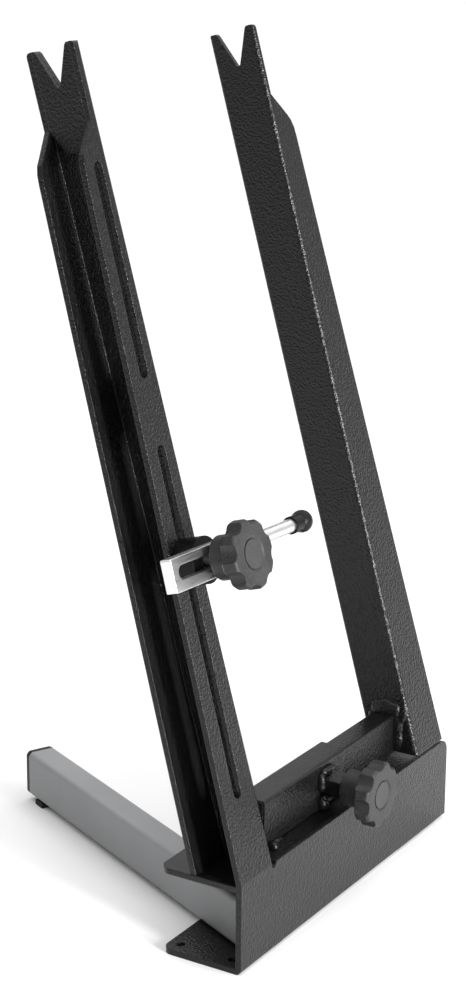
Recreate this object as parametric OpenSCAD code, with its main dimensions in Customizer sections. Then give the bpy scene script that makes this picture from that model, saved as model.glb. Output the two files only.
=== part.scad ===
// Bench stand for truing bicycle wheels: a folded sheet frame with one fixed
// and one sliding arm, a rear leg, and a rim gauge clamped in a slot.
// Units are millimetres, +Z is up and the front plate faces -Y.
// The origin is the centre of the four bench screw holes, on the bench.

/* [Frame] */
// width of the front plate, end to end
plate_width = 220; // [218:1:240]
// height of the bend where the front plate turns into the fixed arm
bend_height = 47.5; // [46:0.5:56]
// thickness of the folded steel sheet
sheet = 3; // [2:0.5:3]
// depth of the flanges that stand on the bench
foot_depth = 45.3; // [45:0.1:60]
// diameter of the bench screw holes
bench_hole = 4.4; // [4:0.2:5]

/* [Arms] */
// length of each arm above the bend, measured along the arm
arm_length = 403; // [396:1:440]
// lean of the arms back from upright, degrees
lean_angle = 15.8; // [12:0.2:20]
// depth of each arm, from its front face to its rear face
arm_depth = 28; // [28:1:30]
// width of each arm's flanges at the bend
flange_base = 30; // [29:0.5:31]
// width of each arm's flanges just below the shoulder
flange_top = 19.2; // [18:0.2:21]
// opening between the two arms, where the wheel's hub sits
jaw_opening = 154; // [100:1:154]
// width of the axle notch at its mouth
notch_width = 17.6; // [12:0.2:18]
// depth of the axle notch
notch_depth = 19; // [14:1:22]

/* [Leg] */
// length of the rear leg along its lower left edge, with its end cap
leg_length = 232.5; // [200:2.5:300]
// angle of the leg from straight back, degrees
leg_angle = 25.4; // [22:0.2:28]
// width of the leg's tube
leg_width = 17; // [16:1:18]
// height of the leg's tube
leg_height = 26; // [22:1:30]

/* [Gauge] */
// distance of the gauge's bolt from the bend, along the arm
gauge_height = 155.2; // [62:0.2:208]
// length of the gauge's round rod from the flat bar into the ball
rod_length = 48; // [30:1:60]
// diameter of the gauge's round rod
rod_diameter = 7; // [5:0.5:7]
// diameter of the ball on the rod's end
ball_diameter = 11.5; // [11:0.1:14]

/* [Knobs] */
// diameter of both knobs over their lobes
knob_diameter = 33.6; // [32:0.2:36]
// number of lobes on each knob
knob_lobes = 8; // [6:1:10]
// thickness of the lobed rim of each knob
knob_rim = 8.6; // [7:0.2:9]

/* [Hidden] */

// colours
black_paint = [0.09, 0.09, 0.10];
grey_paint = [0.46, 0.47, 0.48];
bright_steel = [0.80, 0.80, 0.80];
black_plastic = [0.07, 0.07, 0.08];
cap_plastic = [0.16, 0.16, 0.17];

// small overlap that lets a cutter pass clean through a face
over = 1;
// outer radius of the folds between web and flange, and between plate and foot
fold = 2.2;
foot_fold = 3;

// bench screw holes, from each foot's outer side edge and from the plate's face
hole_inset = 7.3;
hole_front = 8.9;
hole_rear = 38.9;

// front plate
plate_bottom = 2;
plate_corner = 7;
left_foot = [0, 41.2];
right_foot = [plate_width - 54.3, plate_width - 11.4];
foot_corner = 5;
hole_left = left_foot[0] + hole_inset;
hole_right = right_foot[1] - hole_inset;
origin_x = (hole_left + hole_right) / 2;
origin_y = (hole_front + hole_rear) / 2;

// arms: the webs face each other across the jaw opening
web_face = 30;
slide_face = web_face + jaw_opening;
shoulder_low = 341.5;
shoulder_high = arm_length - 37.2;
fixed_strip = 5.5;
slide_strip = 3;
notch_plate_thickness = 2.5;
prong_corner = 2;
mouth_flare = 1;
slide_foot = bend_height + 1.3;

// slots in the fixed arm's front flange, on one sloping line
slot_width = 6.5;
slot_slope = 1.31;
slot_start = 43;
slot_start_x = 14.4;
lower_slot = [42, 208.8];
upper_slot = [247.3, 343.4];

// shelf and telescoping cross tubes
shelf_top = bend_height - 1.5;
shelf_width = 206;
shelf_rear = 47;
shelf_corner = 6;
tube_wall = 1.5;
outer_left = 43;
outer_right = 126;
outer_front = 13;
outer_depth = 16;
outer_height = 25.5;
tube_play = 0.1;
inner_depth = outer_depth - 2 * tube_wall - 2 * tube_play;
inner_height = outer_height - 2 * tube_wall - 2 * tube_play;
inner_length = 84.5;

// clamp on the cross tube
clamp_x = 105.5;
clamp_z = shelf_top + 13.75;
nut_length = 11.5;
nut_flats = 13;
clamp_radius = 4;
clamp_hub_radius = 9.5;
clamp_hub_back = 0.2;
clamp_hub = 11.2;

// leg and its fasteners
leg_x = 13.2;
leg_wall = 1.5;
leg_corner = 3;
cap_rim = 3;
pad_span = [17.5, 9.5];
leg_start = 5.5;
leg_screw_rows = [13, 25];
leg_screw_radius = 2;

// gauge stack, measured forward from the flange's front face
bolt_radius = 3;
spacer_radius = 11.5;
spacer_length = 11.9;
bar_gap = 0.1;
bar_back = spacer_length + 2 * bar_gap;
bar_thickness = 5.8;
bar_height = 16;
bar_left = 36.5;
bar_right = 33;
bar_slot = [28.5, 18.5];
bar_corner = 0.8;
bar_tilt = 2;
bar_drop = 0.4;
washer_back = bar_back + bar_thickness + bar_gap;
washer_thickness = 2.8;
gauge_hub_back = washer_back + washer_thickness + bar_gap;
gauge_hub_radius = 10.8;
gauge_hub = 9.6;
rod_rise = 1.3;
rod_seat = 1.75;
neck_radius = 4.5;
neck_length = 11;
running_fit = 0.06;

// knobs
knob_edge = 1.8;
gauge_knob_turn = 8;
clamp_knob_turn = 29;
scallop_radius = 5.5;
scallop_depth = 2.6;
cap_radius = 7;
cap_depth = 1.6;
cap_sink = 0.3;
seat_flare = 1.6;
seat_flare_depth = 0.9;

function slot_x(s) = slot_start_x + (s - slot_start) * tan(slot_slope);

// moves the stand so that its origin lies between the bench screw holes
module placed() {
    translate([-origin_x, -origin_y, 0]) children();
}

// the leaning frame of both arms: x along the plate, y through the arm, z along it
module lean() {
    translate([0, 0, bend_height]) rotate([-lean_angle, 0, 0]) children();
}

// the gauge's frame: z points forward out of the flange, x to the right, y up the arm
module at_gauge() {
    placed() lean() translate([slot_x(gauge_height), 0, gauge_height])
        rotate([90, 0, 0]) children();
}

// the leg's frame: x across it, y along it
module along_leg() {
    placed() translate([leg_x, sheet, 0]) rotate([0, 0, -leg_angle]) children();
}

// stands an outline drawn in x and z up, with its thickness going to +y
module upright(thickness) {
    translate([0, thickness, 0]) rotate([90, 0, 0]) linear_extrude(thickness) children();
}

// runs an outline drawn in y and z along x
module run(length) {
    rotate([90, 0, 90]) linear_extrude(length) children();
}

module rounded_rect(width, height, radius) {
    translate([radius, 0]) square([width - 2 * radius, height]);
    translate([0, radius]) square([width, height - 2 * radius]);
    for (x = [radius, width - radius], y = [radius, height - radius])
        translate([x, y]) circle(radius, $fn = 32);
}

// the waste outside a rounded corner, with the corner at the origin
module corner_waste(radius) {
    difference() {
        translate([-over, -over]) square(radius + over);
        translate([radius, radius]) circle(radius, $fn = 48);
    }
}

module hex(flats, length) {
    cylinder(d = flats / cos(30), h = length, $fn = 6);
}

// ---- folded frame ----

module foot_profile() {
    difference() {
        union() {
            square([sheet, bend_height]);
            square([foot_depth, sheet]);
        }
        corner_waste(foot_fold);
    }
}

module front_plate() {
    upright(sheet) difference() {
        translate([0, plate_bottom]) square([plate_width, bend_height - plate_bottom]);
        translate([plate_width, bend_height]) rotate(180) corner_waste(plate_corner);
    }
    difference() {
        union() {
            for (span = [left_foot, right_foot])
                translate([span[0], 0, 0]) run(span[1] - span[0]) foot_profile();
        }
        translate([left_foot[0], foot_depth, -over]) rotate(-90)
            linear_extrude(sheet + 2 * over) corner_waste(foot_corner);
        translate([right_foot[1], foot_depth, -over]) rotate(180)
            linear_extrude(sheet + 2 * over) corner_waste(foot_corner);
    }
}

// channel section: the web's outer face is at x = 0 and the flanges run to -x
module channel_section() {
    difference() {
        translate([-flange_base - over, 0]) square([flange_base + over, arm_depth]);
        translate([-flange_base - 2 * over, sheet])
            square([flange_base + 2 * over - sheet, arm_depth - 2 * sheet]);
        rotate(90) corner_waste(fold);
        translate([0, arm_depth]) rotate(180) corner_waste(fold);
    }
}

// outline of a flange seen from the front, tapering up to a shoulder and a strip
module flange_outline(strip) {
    polygon([[over, -20], [-flange_base, -20], [-flange_base, 0],
        [-flange_top, shoulder_low], [-flange_top + 0.5, shoulder_low + 5.4],
        [-flange_top + 2.1, shoulder_low + 9.6], [-flange_top + 4.6, shoulder_low + 12.6],
        [-strip, shoulder_high], [-strip, arm_length], [over, arm_length]]);
}

module axle_notch() {
    low = arm_length - notch_depth;
    translate([arm_depth / 2, low + 1.6]) circle(1.6, $fn = 32);
    polygon([[arm_depth / 2 - 1.5, low + 1.1], [arm_depth / 2 + 1.5, low + 1.1],
        [(arm_depth + notch_width) / 2, arm_length - mouth_flare],
        [(arm_depth + notch_width) / 2 + 2 * mouth_flare, arm_length + over],
        [(arm_depth - notch_width) / 2 - 2 * mouth_flare, arm_length + over],
        [(arm_depth - notch_width) / 2, arm_length - mouth_flare]]);
}

// one arm in the leaning frame, with its web's outer face at x = 0
module channel_arm(strip) {
    difference() {
        intersection() {
            linear_extrude(arm_length) channel_section();
            upright(arm_depth) flange_outline(strip);
        }
        translate([-flange_base, 0, 0]) run(flange_base + over) {
            axle_notch();
            translate([0, arm_length]) rotate(-90) corner_waste(prong_corner);
            translate([arm_depth, arm_length]) rotate(180) corner_waste(prong_corner);
        }
    }
}

// a slot through the front flange, from one end centre to the other
module flange_slot(ends) {
    translate([slot_x(ends[0]), -over, ends[0]]) rotate([0, slot_slope, 0]) {
        length = (ends[1] - ends[0]) / cos(slot_slope);
        translate([-slot_width / 2, 0, 0]) cube([slot_width, sheet + 2 * over, length]);
        for (z = [0, length]) translate([0, 0, z]) rotate([-90, 0, 0])
            cylinder(d = slot_width, h = sheet + 2 * over, $fn = 48);
    }
}

module bench_holes() {
    for (x = [hole_left, hole_right], y = [hole_front, hole_rear])
        translate([x, y, -over]) cylinder(d = bench_hole, h = sheet + 2 * over, $fn = 48);
}

// the front plate, its flanges and the fixed arm are one folded sheet
module frame_sheet() {
    color(black_paint) placed() difference() {
        union() {
            front_plate();
            intersection() {
                lean() translate([web_face, 0, 0]) channel_arm(fixed_strip);
                translate([-over, -over, shelf_top]) cube([100, 300, 600]);
            }
        }
        lean() flange_slot(lower_slot);
        lean() flange_slot(upper_slot);
        bench_holes();
        translate([web_face + 0.6, -over, bend_height - 0.5]) rotate([-90, 0, 0])
            cylinder(r = 2.2, h = sheet + 3 * over, $fn = 32);
        placed_leg_holes();
    }
}

// the countersunk holes under the leg, in the frame of the plate
module placed_leg_holes() {
    translate([leg_x, sheet, 0]) rotate([0, 0, -leg_angle]) for (y = leg_screw_rows)
        translate([leg_width / 2, y, 0]) {
            translate([0, 0, -over]) cylinder(r = leg_screw_radius + 0.1, h = sheet + 2 * over, $fn = 32);
            cylinder(r1 = 4.2, r2 = leg_screw_radius, h = 2.3, $fn = 32);
        }
}

// stiffens the fixed arm's notch from behind its web, between the two strips
module notch_plate() {
    color(black_paint) placed() lean() translate([web_face - fixed_strip, 0, 0])
        run(notch_plate_thickness) difference() {
            polygon([[sheet, arm_length - 51], [18.5, arm_length - 49.8],
                [arm_depth - sheet, arm_length - 38.4], [arm_depth - sheet, arm_length],
                [sheet, arm_length]]);
            axle_notch();
        }
}

// the shelf behind the plate carries the fixed arm and the cross tube
module shelf_plate() {
    color(black_paint) placed() translate([0, sheet, shelf_top - sheet]) linear_extrude(sheet)
        difference() {
            square([shelf_width, shelf_rear - sheet]);
            translate([0, shelf_rear - sheet]) rotate(-90) corner_waste(shelf_corner);
        }
}

// ---- cross tubes and clamp ----

module tube_section(depth, height, wall, radius) {
    difference() {
        rounded_rect(depth, height, radius);
        translate([wall, wall]) square([depth - 2 * wall, height - 2 * wall]);
    }
}

module outer_tube() {
    color(black_paint) placed() difference() {
        translate([outer_left, outer_front, shelf_top]) run(outer_right - outer_left)
            tube_section(outer_depth, outer_height, tube_wall, 1.4);
        translate([clamp_x, outer_front - over, clamp_z]) rotate([-90, 0, 0])
            cylinder(r = clamp_radius + 0.4, h = tube_wall + 2 * over, $fn = 48);
    }
}

module outer_tube_plug() {
    color(black_paint) placed()
        translate([outer_left + 0.4, outer_front + tube_wall, shelf_top + tube_wall])
            cube([1.6, outer_depth - 2 * tube_wall, outer_height - 2 * tube_wall]);
}

module inner_tube() {
    color(black_paint) placed()
        translate([slide_face - inner_length, outer_front + tube_wall + tube_play,
            shelf_top + tube_wall + tube_play])
            run(inner_length) tube_section(inner_depth, inner_height, tube_wall, 1);
}

// the sliding arm mirrors the fixed one and ends just above the plate
module sliding_arm() {
    color(black_paint) placed() intersection() {
        lean() translate([slide_face, 0, 0]) mirror([1, 0, 0]) channel_arm(slide_strip);
        translate([slide_face - over, -over, slide_foot]) cube([100, 300, 600]);
    }
}

// the clamp's frame: z points forward out of the tube's front face
module at_clamp() {
    placed() translate([clamp_x, outer_front, clamp_z]) rotate([90, 0, 0]) children();
}

module clamp_nut() {
    color(black_paint) at_clamp() difference() {
        rotate(30) hex(nut_flats, nut_length);
        translate([0, 0, -over])
            cylinder(r = clamp_radius + running_fit, h = nut_length + 2 * over, $fn = 48);
    }
}

module clamp_screw() {
    color(bright_steel) at_clamp() translate([0, 0, -tube_wall])
        cylinder(r = clamp_radius, h = tube_wall + outer_front + 14, $fn = 48);
}

// the lobed rim of a knob, with rounded edges
module knob_rim_disc(turn) {
    radius = knob_diameter / 2;
    difference() {
        rotate_extrude($fn = 96) {
            square([radius - knob_edge, knob_rim]);
            translate([0, knob_edge]) square([radius, knob_rim - 2 * knob_edge]);
            for (y = [knob_edge, knob_rim - knob_edge])
                translate([radius - knob_edge, y]) circle(knob_edge, $fn = 32);
        }
        for (i = [0 : knob_lobes - 1]) rotate(turn + (i + 0.5) * 360 / knob_lobes)
            translate([radius + scallop_radius - scallop_depth, 0, -over])
                cylinder(r = scallop_radius, h = knob_rim + 2 * over, $fn = 48);
    }
}

// a knob from the back of its hub forward, with a bore for its screw and a seat for its cap
module star_knob(hub_radius, hub_length, bore_radius, bore_length, turn) {
    face = hub_length + knob_rim;
    difference() {
        union() {
            cylinder(r = hub_radius, h = hub_length + over, $fn = 64);
            translate([0, 0, hub_length]) knob_rim_disc(turn);
        }
        translate([0, 0, -over]) cylinder(r = bore_radius, h = bore_length + over, $fn = 48);
        translate([0, 0, face - cap_depth - cap_sink])
            cylinder(r = cap_radius, h = cap_depth + cap_sink + over, $fn = 64);
        translate([0, 0, face - seat_flare_depth])
            cylinder(r1 = cap_radius, r2 = cap_radius + 2 * seat_flare, h = 2 * seat_flare_depth,
                $fn = 64);
    }
}

module knob_cap() {
    cylinder(r = cap_radius, h = cap_depth, $fn = 64);
}

module clamp_knob() {
    color(black_plastic) at_clamp() translate([0, 0, outer_front - clamp_hub_back])
        star_knob(clamp_hub_radius, clamp_hub, clamp_radius, 14 + clamp_hub_back,
            clamp_knob_turn);
}

module clamp_knob_cap() {
    color(cap_plastic) at_clamp()
        translate([0, 0, outer_front - clamp_hub_back + clamp_hub + knob_rim - cap_depth - cap_sink])
            knob_cap();
}

// ---- rear leg ----

module leg_section_block(from, to, inset, radius) {
    translate([inset, to, sheet + inset]) rotate([90, 0, 0]) linear_extrude(to - from)
        rounded_rect(leg_width - 2 * inset, leg_height - 2 * inset, radius);
}

module leg_tube() {
    color(grey_paint) difference() {
        along_leg() difference() {
            leg_section_block(-20, leg_length - cap_rim, 0, leg_corner);
            leg_section_block(-21, leg_length, leg_wall, leg_corner - leg_wall);
            for (y = leg_screw_rows) translate([leg_width / 2, y, sheet - over])
                cylinder(r = leg_screw_radius + 0.1, h = leg_wall + 2 * over, $fn = 32);
        }
        placed() translate([-100, -100, 0]) cube([300, 100 + leg_start, 100]);
    }
}

module leg_end_cap() {
    color(black_plastic) along_leg() {
        leg_section_block(leg_length - cap_rim, leg_length, 0, leg_corner);
        leg_section_block(leg_length - 12, leg_length - cap_rim, leg_wall, leg_corner - leg_wall);
    }
}

// a rubber pad fills the height of the foot flange under the leg's far end
module leg_foot() {
    color(black_plastic) along_leg() translate([0.2, leg_length - pad_span[0], 0])
        cube([leg_width - 0.4, pad_span[0] - pad_span[1], sheet]);
}

module leg_screws() {
    color(bright_steel) along_leg() for (y = leg_screw_rows)
        translate([leg_width / 2, y, 0]) {
            cylinder(r1 = 4.2, r2 = leg_screw_radius, h = 2.3, $fn = 32);
            cylinder(r = leg_screw_radius, h = 10, $fn = 32);
        }
}

module leg_nuts() {
    color(bright_steel) along_leg() for (y = leg_screw_rows)
        translate([leg_width / 2, y, sheet + leg_wall]) difference() {
            hex(7, 3.2);
            translate([0, 0, -over]) cylinder(r = leg_screw_radius, h = 6, $fn = 32);
        }
}

// ---- rim gauge ----

// square-necked bolt from behind the flange; its neck keeps it from turning in the slot
module gauge_bolt() {
    color(bright_steel) at_gauge() {
        translate([0, 0, -sheet - 0.1 - 2.6]) cylinder(r = 6.6, h = 2.6, $fn = 48);
        translate([-3.1, -3.1, -sheet - 0.2]) cube([6.2, 6.2, sheet - 0.6]);
        translate([0, 0, -sheet - 0.2])
            cylinder(r = bolt_radius, h = sheet + gauge_hub_back + gauge_hub + 5, $fn = 48);
    }
}

module gauge_spacer() {
    color(black_plastic) at_gauge() translate([0, 0, bar_gap]) difference() {
        cylinder(r = spacer_radius, h = spacer_length, $fn = 64);
        translate([0, 0, -over])
            cylinder(r = bolt_radius + running_fit, h = spacer_length + 2 * over, $fn = 48);
    }
}

// the bar hangs a little to the right, and it slides along its own slot
module at_bar() {
    at_gauge() rotate([0, 0, -bar_tilt]) translate([0, 0, bar_back]) children();
}

module gauge_bar() {
    low = -bar_height / 2 - bar_drop;
    high = bar_height / 2 - bar_drop;
    color(bright_steel) at_bar() difference() {
        linear_extrude(bar_thickness) difference() {
            translate([-bar_left, low]) square([bar_left + bar_right, bar_height]);
            translate([-bar_left, low]) corner_waste(bar_corner);
            translate([-bar_left, high]) rotate(-90) corner_waste(bar_corner);
            translate([bar_right, low]) rotate(90) corner_waste(bar_corner);
            translate([bar_right, high]) rotate(180) corner_waste(bar_corner);
            translate([-bar_slot[0], -3.5]) square([bar_slot[0] + bar_slot[1], 7]);
            for (x = [-bar_slot[0], bar_slot[1]]) translate([x, 0]) circle(3.5, $fn = 48);
        }
        translate([bar_right - 8, rod_rise - bar_drop, bar_thickness / 2]) rotate([0, 90, 0])
            cylinder(r = 1.7, h = 9, $fn = 32);
    }
}

// the rod is turned down where it is pressed into the bar and the ball
module gauge_rod() {
    color(bright_steel) at_bar()
        translate([bar_right, rod_rise - bar_drop, bar_thickness / 2]) rotate([0, 90, 0]) {
            cylinder(d = rod_diameter, h = rod_length, $fn = 48);
            translate([0, 0, -8]) cylinder(r = 1.7, h = 9, $fn = 32);
        }
}

// a ball and its neck in one moulding, with a blind hole that the rod is pressed into
module gauge_ball() {
    radius = ball_diameter / 2;
    color(black_plastic) at_bar()
        translate([bar_right + rod_length + rod_seat, rod_rise - bar_drop, bar_thickness / 2])
            rotate([0, 90, 0]) rotate_extrude($fn = 64) difference() {
                union() {
                    intersection() {
                        circle(radius, $fn = 64);
                        translate([0, -radius]) square([radius, 2 * radius]);
                    }
                    translate([0, -neck_length]) square([neck_radius, neck_length]);
                }
                translate([-over, -neck_length - over])
                    square([rod_diameter / 2 + over, neck_length + over - rod_seat]);
            }
}

module gauge_washer() {
    color(black_plastic) at_gauge() translate([0, 0, washer_back]) difference() {
        cylinder(r = 6, h = washer_thickness, $fn = 48);
        translate([0, 0, -over])
            cylinder(r = bolt_radius + running_fit, h = washer_thickness + 2 * over, $fn = 48);
    }
}

module gauge_knob() {
    color(black_plastic) at_gauge() translate([0, 0, gauge_hub_back])
        star_knob(gauge_hub_radius, gauge_hub, bolt_radius + running_fit, gauge_hub + 5.2,
            gauge_knob_turn);
}

module gauge_knob_cap() {
    color(cap_plastic) at_gauge()
        translate([0, 0, gauge_hub_back + gauge_hub + knob_rim - cap_depth - cap_sink]) knob_cap();
}

frame_sheet();
notch_plate();
shelf_plate();
outer_tube();
outer_tube_plug();
clamp_nut();
clamp_screw();
clamp_knob();
clamp_knob_cap();
inner_tube();
sliding_arm();
leg_tube();
leg_end_cap();
leg_foot();
leg_screws();
leg_nuts();
gauge_bolt();
gauge_spacer();
gauge_bar();
gauge_rod();
gauge_ball();
gauge_washer();
gauge_knob();
gauge_knob_cap();
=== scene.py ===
"""Looks of the bicycle wheel truing stand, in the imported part's frame, in metres."""
import math
import bmesh
import bpy
from mathutils import Matrix, Vector


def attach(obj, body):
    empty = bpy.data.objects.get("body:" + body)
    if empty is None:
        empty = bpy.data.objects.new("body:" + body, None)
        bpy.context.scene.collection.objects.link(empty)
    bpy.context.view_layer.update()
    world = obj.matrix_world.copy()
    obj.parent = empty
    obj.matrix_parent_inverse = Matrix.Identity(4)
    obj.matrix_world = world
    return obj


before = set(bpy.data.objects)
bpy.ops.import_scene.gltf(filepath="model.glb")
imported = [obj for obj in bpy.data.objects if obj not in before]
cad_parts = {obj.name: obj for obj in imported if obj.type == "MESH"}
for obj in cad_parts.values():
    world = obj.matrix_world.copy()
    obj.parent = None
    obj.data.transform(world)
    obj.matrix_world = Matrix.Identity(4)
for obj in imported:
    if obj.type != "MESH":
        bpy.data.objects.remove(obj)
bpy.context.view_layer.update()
scene = bpy.context.scene

# the frame's origin, measured from the front plate's left front corner on the bench
OFFSET = Vector((0.1043, 0.0239, 0))
# the arms' lean back from upright, and the height in millimetres of the bend where they start
LEAN = math.radians(15.8)
BEND = 47.5


def stand(x, y, z):
    """A point given in millimetres from the plate's left front corner on the bench."""
    return Vector((x, y, z)) / 1000 - OFFSET


def arm(x, depth, along):
    """A point of the leaning arms, in millimetres from the plate's left front corner.

    depth is measured behind the arms' front face, and along up the arm from the bend.
    """
    return (x, along * math.sin(LEAN) + depth * math.cos(LEAN),
            BEND + along * math.cos(LEAN) - depth * math.sin(LEAN))


# ---- camera ----

# the photo's camera: its turn about the vertical, its tilt down and its roll, in degrees
YAW, PITCH, ROLL = -58.332, 15.867, 0.387
# the point that the camera was placed from, and the distance back from it in metres
AIM = (110, 60, 237.5)
DISTANCE = 1.07922
# how far the camera stands left of that point and below it, along the picture's axes, in millimetres
LEFT, DOWN = 12.061, 33.671
# the sensor's height in millimetres, and the lens as a multiple of it
SENSOR = 24
LENS = 2.130665


def add_camera():
    yaw, pitch, roll = (math.radians(v) for v in (YAW, PITCH, ROLL))
    back = Vector((math.sin(yaw) * math.cos(pitch), -math.cos(yaw) * math.cos(pitch), math.sin(pitch)))
    right = (-back).cross(Vector((0, 0, 1))).normalized()
    up = right.cross(-back).normalized()
    x_axis = right * math.cos(roll) + up * math.sin(roll)
    y_axis = -right * math.sin(roll) + up * math.cos(roll)
    place = stand(*AIM) - (x_axis * LEFT + y_axis * DOWN) / 1000 + back * DISTANCE
    data = bpy.data.cameras.new("camera")
    data.sensor_fit = "VERTICAL"
    data.sensor_height = SENSOR
    data.lens = SENSOR * LENS
    data.clip_start = 0.01
    obj = bpy.data.objects.new("camera", data)
    obj.matrix_world = Matrix((x_axis, y_axis, back)).transposed().to_4x4()
    obj.matrix_world.translation = place
    scene.collection.objects.link(obj)
    scene.camera = obj


add_camera()

# ---- materials ----


class Nodes:
    """A small helper that adds and wires the nodes of one material."""

    def __init__(self, name):
        self.material = bpy.data.materials.new(name)
        self.material.use_nodes = True
        self.tree = self.material.node_tree
        self.shader = self.tree.nodes["Principled BSDF"]
        self.coords = self.tree.nodes.new("ShaderNodeTexCoord").outputs["Object"]

    def put(self, socket, value):
        """Wires another node's output into a socket, or gives it a plain value."""
        if isinstance(value, bpy.types.NodeSocket):
            self.tree.links.new(value, socket)
        else:
            socket.default_value = value

    def add(self, kind, inputs, **settings):
        node = self.tree.nodes.new(kind)
        for key, value in settings.items():
            setattr(node, key, value)
        for key, value in inputs.items():
            self.put(node.inputs[key], value)
        return node

    def noise(self, scale, detail, rough, vector=None):
        return self.add("ShaderNodeTexNoise", {"Vector": vector or self.coords, "Scale": scale,
                                               "Detail": detail, "Roughness": rough}).outputs["Fac"]

    def cells(self, scale, smooth):
        return self.add("ShaderNodeTexVoronoi", {"Vector": self.coords, "Scale": scale,
                                                 "Smoothness": smooth},
                        feature="SMOOTH_F1").outputs["Distance"]

    def ramp(self, fac, *stops):
        """Two stops, each a place from 0 to 1 with its colour or its grey value."""
        node = self.add("ShaderNodeValToRGB", {"Fac": fac})
        for element, (place, colour) in zip(node.color_ramp.elements, stops):
            element.position = place
            element.color = (*colour, 1) if isinstance(colour, tuple) else (colour, colour, colour, 1)
        return node.outputs["Color"]

    def math(self, kind, a, b):
        return self.add("ShaderNodeMath", {0: a, 1: b}, operation=kind).outputs[0]

    def mix(self, fac, dark, light):
        """One colour blended into another; sockets 0, 6 and 7 are the factor and the two colours."""
        return self.add("ShaderNodeMix", {0: fac, 6: (*dark, 1), 7: (*light, 1)},
                        data_type="RGBA").outputs[2]

    def bump(self, height, strength, distance, normal):
        return self.add("ShaderNodeBump", {"Height": height, "Strength": strength,
                                           "Distance": distance, "Normal": normal}).outputs["Normal"]

    def rounded(self, radius):
        return self.add("ShaderNodeBevel", {"Radius": radius}, samples=6).outputs["Normal"]

    def set(self, **values):
        for key, value in values.items():
            self.put(self.shader.inputs[key.replace("_", " ")], value)


def hammer_paint():
    """Black gloss paint with a pebbled skin, its colour painted darker in the pebbles' hollows and
    lighter on their tops as painted shade and highlight.
    """
    n = Nodes("black_hammer_paint")
    pebble = n.cells(820, 0.5)
    skin = n.noise(600, 3, 0.6)
    broad = n.noise(30, 4, 0.6)
    height = n.math("ADD", n.math("MULTIPLY", pebble, 0.6), skin)
    # painted shade and highlight: the colour follows the pebbles' height, darker in their hollows and
    # lighter on their tops
    pebble_painted_shade = n.mix(n.ramp(height, (0.45, 0.0), (0.95, 1.0)), (0.0012, 0.0012, 0.0013),
                 (0.007, 0.007, 0.0073))
    n.set(Base_Color=pebble_painted_shade, Roughness=n.ramp(broad, (0.3, 0.19), (0.75, 0.26)),
          Normal=n.bump(height, 0.9, 0.00045, n.rounded(0.001)), Specular_IOR_Level=0.28)
    return n.material


def grey_paint():
    """The leg's satin grey paint, with a very fine grain."""
    n = Nodes("grey_satin_paint")
    grain = n.noise(1400, 2, 0.5)
    broad = n.noise(22, 4, 0.6)
    n.set(Base_Color=n.ramp(broad, (0.3, (0.192, 0.195, 0.199)), (0.7, (0.218, 0.222, 0.226))),
          Roughness=n.ramp(grain, (0.3, 0.42), (0.7, 0.52)),
          Normal=n.bump(grain, 0.12, 0.0003, n.rounded(0.0004)))
    return n.material


def bright_steel():
    """Bright steel with fine lines along each piece's x axis."""
    n = Nodes("bright_steel")
    along = n.add("ShaderNodeMapping", {"Vector": n.coords, "Scale": (60, 2600, 2600)}).outputs[0]
    lines = n.noise(1.0, 3, 0.6, along)
    broad = n.noise(60, 3, 0.6)
    n.set(Base_Color=n.ramp(broad, (0.3, (0.80, 0.80, 0.795)), (0.7, (0.87, 0.87, 0.865))),
          Metallic=1.0, Roughness=n.ramp(lines, (0.3, 0.26), (0.7, 0.38)),
          Normal=n.bump(lines, 0.10, 0.0002, n.rounded(0.0006)))
    return n.material


def moulded(name, dark, light, low, high, gloss=0.2):
    """Moulded plastic or rubber: a fine speckle from dark to light, roughness from low to high."""
    n = Nodes(name)
    grain = n.noise(1500, 3, 0.6)
    broad = n.noise(70, 3, 0.6)
    speckle = n.math("ADD", n.math("MULTIPLY", grain, 0.75), n.math("MULTIPLY", broad, 0.25))
    n.set(Base_Color=n.ramp(speckle, (0.38, dark), (0.62, light)),
          Roughness=n.ramp(broad, (0.3, low), (0.7, high)),
          Normal=n.bump(grain, 0.3, 0.0002, n.rounded(0.0006)), Specular_IOR_Level=gloss)
    return n.material


PAINT = hammer_paint()
GREY = grey_paint()
STEEL = bright_steel()
KNOB = moulded("knob_moulded_plastic", (0.012, 0.012, 0.0123), (0.037, 0.037, 0.038), 0.40, 0.50)
CAP = moulded("cap_moulded_plastic", (0.019, 0.019, 0.0195), (0.041, 0.041, 0.042), 0.36, 0.44)
PLASTIC = moulded("black_moulded_plastic", (0.004, 0.004, 0.0042), (0.008, 0.008, 0.0083),
                  0.24, 0.32, gloss=0.12)
RUBBER = moulded("black_rubber", (0.012, 0.012, 0.012), (0.018, 0.018, 0.018), 0.6, 0.75)

LOOKS = {
    PAINT: ("frame_sheet", "notch_plate", "shelf_plate", "outer_tube", "outer_tube_plug", "clamp_nut",
            "inner_tube", "sliding_arm"),
    GREY: ("leg_tube",),
    STEEL: ("clamp_screw", "leg_screws", "leg_nuts", "gauge_bolt", "gauge_bar", "gauge_rod"),
    KNOB: ("clamp_knob", "gauge_knob"),
    PLASTIC: ("gauge_spacer", "gauge_washer", "gauge_ball", "leg_end_cap"),
    CAP: ("clamp_knob_cap", "gauge_knob_cap"),
    RUBBER: ("leg_foot",),
}
for look, names in LOOKS.items():
    for name in names:
        for slot in bpy.data.objects[name].material_slots:
            slot.material = look

# ---- welds ----

# corners round a bead, the step between its rings in metres, and the fewest steps
SIDES = 20
RING_STEP = 0.00035
FEWEST_STEPS = 12
# how far its ripples, its slow swelling and its wander go, as shares of its half size
RIPPLE, SWELL, WANDER = 0.012, 0.06, 0.07
# how fast the swelling and the wander run, in radians for each millimetre, and where the wander starts
SWELL_RATE, WANDER_RATE, WANDER_START = 0.6, 0.7, 1.7
# the share of its half size that is left at its ends
TIP = 0.02


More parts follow.
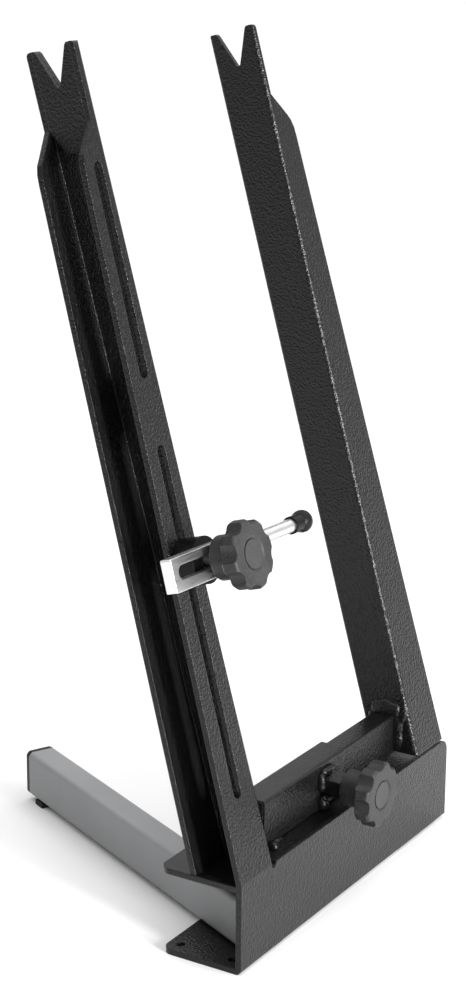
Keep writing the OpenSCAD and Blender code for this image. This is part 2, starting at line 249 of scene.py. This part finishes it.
def bead(name, body, start, end, wide, tall, ripple=2.6):
    """A weld bead from start to end, in millimetres from the plate's left front corner.

    wide and tall are the half axes of its section, and ripple is the length of one ripple.
    """
    start, end, wide, tall = (Vector(v) / 1000 for v in (start, end, wide, tall))
    start, end = start - OFFSET, end - OFFSET
    length = (end - start).length
    count = max(FEWEST_STEPS, round(length / RING_STEP))
    angles = [2 * math.pi * k / SIDES for k in range(SIDES)]
    mesh = bpy.data.meshes.new(name)
    bm = bmesh.new()
    rings = []
    for i in range(count + 1):
        t = i / count
        s = t * length * 1000
        ripples = RIPPLE * math.sin(2 * math.pi * s / ripple)
        # the length of its name shifts the swelling, so that the beads aren't all alike
        swelling = SWELL * math.sin(SWELL_RATE * s + len(name))
        size = ((1 - abs(2 * t - 1) ** 4) ** 0.5 + TIP) * (1 + ripples + swelling)
        middle = start.lerp(end, t) + tall * WANDER * math.sin(WANDER_RATE * s + WANDER_START)
        rings.append([bm.verts.new(middle + size * (wide * math.cos(a) + tall * math.sin(a)))
                      for a in angles])
    for low, high in zip(rings, rings[1:]):
        for k in range(SIDES):
            bm.faces.new((low[k], low[(k + 1) % SIDES], high[(k + 1) % SIDES], high[k]))
    bm.faces.new(reversed(rings[0]))
    bm.faces.new(rings[-1])
    bmesh.ops.recalc_face_normals(bm, faces=bm.faces)
    bm.to_mesh(mesh)
    bm.free()
    for face in mesh.polygons:
        face.use_smooth = True
    obj = bpy.data.objects.new(name, mesh)
    mesh.materials.append(PAINT)
    scene.collection.objects.link(obj)
    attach(obj, body)


# the height of the shelf's top
SHELF = 46
# between the fixed arm and the shelf
bead("weld_arm_jaw_side", "stand", (30.4, 2.5, SHELF), (30.4, 27.5, SHELF), (1.7, 0, 0), (0, 0, 1.5))
bead("weld_arm_rear", "stand", (8, 28.6, SHELF), (28, 28.6, SHELF), (0, 1.6, 0), (0, 0, 1.3))
# between the cross tube and the shelf, and on its left end
bead("weld_tube_front", "stand", (44, 12.6, SHELF), (60, 12.6, SHELF), (0, 1.8, 0), (0, 0, 1.7))
bead("weld_tube_blob", "stand", (44.6, 10.4, 46.4), (50.4, 10.4, 46.4), (0, 3, 0), (0, 0, 2.9), 9)
bead("weld_tube_rear", "stand", (46, 29.4, SHELF), (118, 29.4, SHELF), (0, 1.6, 0), (0, 0, 1.5))
bead("weld_plug_top", "stand", (43.2, 14.5, 70.3), (43.2, 27.5, 70.3), (0.8, 0, 0), (0, 0, 0.9))
# round the clamp's nut
bead("weld_nut_left", "stand", (97.8, 11.8, 57), (97.8, 11.8, 67), (2.2, 0, 0), (0, 2.3, 0))
bead("weld_nut_top", "stand", (98, 12, 66.8), (111, 12, 66.8), (0, 0, 2.0), (0, 2.0, 0))
bead("weld_nut_low", "stand", (97, 11.4, 52.2), (113, 11.4, 52.2), (0, 0, 2.9), (0, 2.6, 0))
bead("weld_nut_corner", "stand", (95.5, 11.2, 51.2), (101.5, 11.2, 49.2), (0, 0, 3.4), (0, 2.7, 0), 9)
bead("weld_nut_right", "stand", (113.2, 12, 54), (113.2, 12, 65.5), (2.2, 0, 0), (0, 2.0, 0))
# under the shelf, along the front plate
bead("weld_shelf_left", "stand", (0.6, 3, 43), (30, 3, 43), (0, 1.9, 0), (0, 0, 1.7))
bead("weld_shelf_right", "stand", (160, 3, 43), (204, 3, 43), (0, 1.9, 0), (0, 0, 1.7))
# between the sliding arm and the inner tube
bead("weld_slide_top", "arm", (184, 11.5, 72), (184, 29.5, 72), (2.4, 0, 0), (0, 0, 5.6), 5)
bead("weld_slide_corner", "arm", (184, 8.6, 74), (184, 12.6, 64), (1.5, 0, 0), (0, 2.2, 1), 3.5)
bead("weld_slide_front", "arm", (184, 13.6, 71), (184, 13.6, 49.6), (2.2, 0, 0), (0, 4.0, 0), 7)
bead("weld_slide_rear", "arm", (184, 28.4, 71), (184, 28.4, 49.6), (2.2, 0, 0), (0, 3.2, 0), 7)
# round the notch plate's lower edge, behind the fixed arm's web
bead("weld_notch_plate_0", "stand", arm(26.6, 24.6, 364.4), arm(26.6, 18.6, 353.6),
     (0.7, 0, 0), (0, 0.2, 0.7))
bead("weld_notch_plate_1", "stand", arm(26.6, 17.6, 353), arm(26.6, 4, 351.6),
     (0.7, 0, 0), (0, 0.2, 0.7))

# ---- floor, light ----

# half the width of the floor
FLOOR_REACH = 40


def add_floor():
    mesh = bpy.data.meshes.new("floor")
    corners = [(x * FLOOR_REACH, y * FLOOR_REACH, 0) for x, y in ((-1, -1), (1, -1), (1, 1), (-1, 1))]
    mesh.from_pydata(corners, [], [(0, 1, 2, 3)])
    obj = bpy.data.objects.new("floor", mesh)
    scene.collection.objects.link(obj)
    n = Nodes("pale_floor")
    n.set(Base_Color=n.ramp(n.noise(3, 3, 0.55), (0.3, 0.775), (0.7, 0.785)), Roughness=0.8)
    mesh.materials.append(n.material)


def add_light(name, place, aim, width, height, power):
    data = bpy.data.lights.new(name, "AREA")
    data.shape = "RECTANGLE"
    data.size = width
    data.size_y = height
    data.energy = power
    obj = bpy.data.objects.new(name, data)
    obj.location = place
    obj.rotation_euler = (Vector(aim) - Vector(place)).to_track_quat("-Z", "Y").to_euler()
    scene.collection.objects.link(obj)


# the sky's strength is the product of two ramps over the direction that it is seen in:
# the direction's axis, the ramp's two ends along it, and the strength at each end
SKY = (("Z", 0.28, 0.85, 0.55, 2.0), ("X", -0.9, -0.1, 0.35, 1.0))


def add_world():
    """A pale studio, brighter overhead and darker beyond the fixed arm's side."""
    world = bpy.data.worlds.new("studio")
    world.use_nodes = True
    tree = world.node_tree
    coords = tree.nodes.new("ShaderNodeTexCoord")
    split = tree.nodes.new("ShaderNodeSeparateXYZ")
    tree.links.new(coords.outputs["Generated"], split.inputs[0])
    total = tree.nodes.new("ShaderNodeMath")
    total.operation = "MULTIPLY"
    for factor, (axis, low, high, dim, full) in zip(total.inputs, SKY):
        span = tree.nodes.new("ShaderNodeMapRange")
        for name, value in (("From Min", low), ("From Max", high), ("To Min", dim), ("To Max", full)):
            span.inputs[name].default_value = value
        tree.links.new(split.outputs[axis], span.inputs["Value"])
        tree.links.new(span.outputs["Result"], factor)
    tree.links.new(total.outputs[0], tree.nodes["Background"].inputs["Strength"])
    tree.nodes["Background"].inputs["Color"].default_value = (1, 1, 1, 1)
    scene.world = world


scene.view_settings.view_transform = "Standard"
add_floor()
add_world()
# a tall strip in front draws the thin bright lines along the arms' edges
add_light("strip", (-0.62, -1.9, 0.45), (-0.02, 0.0, 0.45), 0.22, 0.86, 84)
# a soft light ahead fills the knobs' faces
add_light("front", (0.25, -1.8, 0.75), (0.0, 0.0, 0.2), 0.8, 0.8, 12)
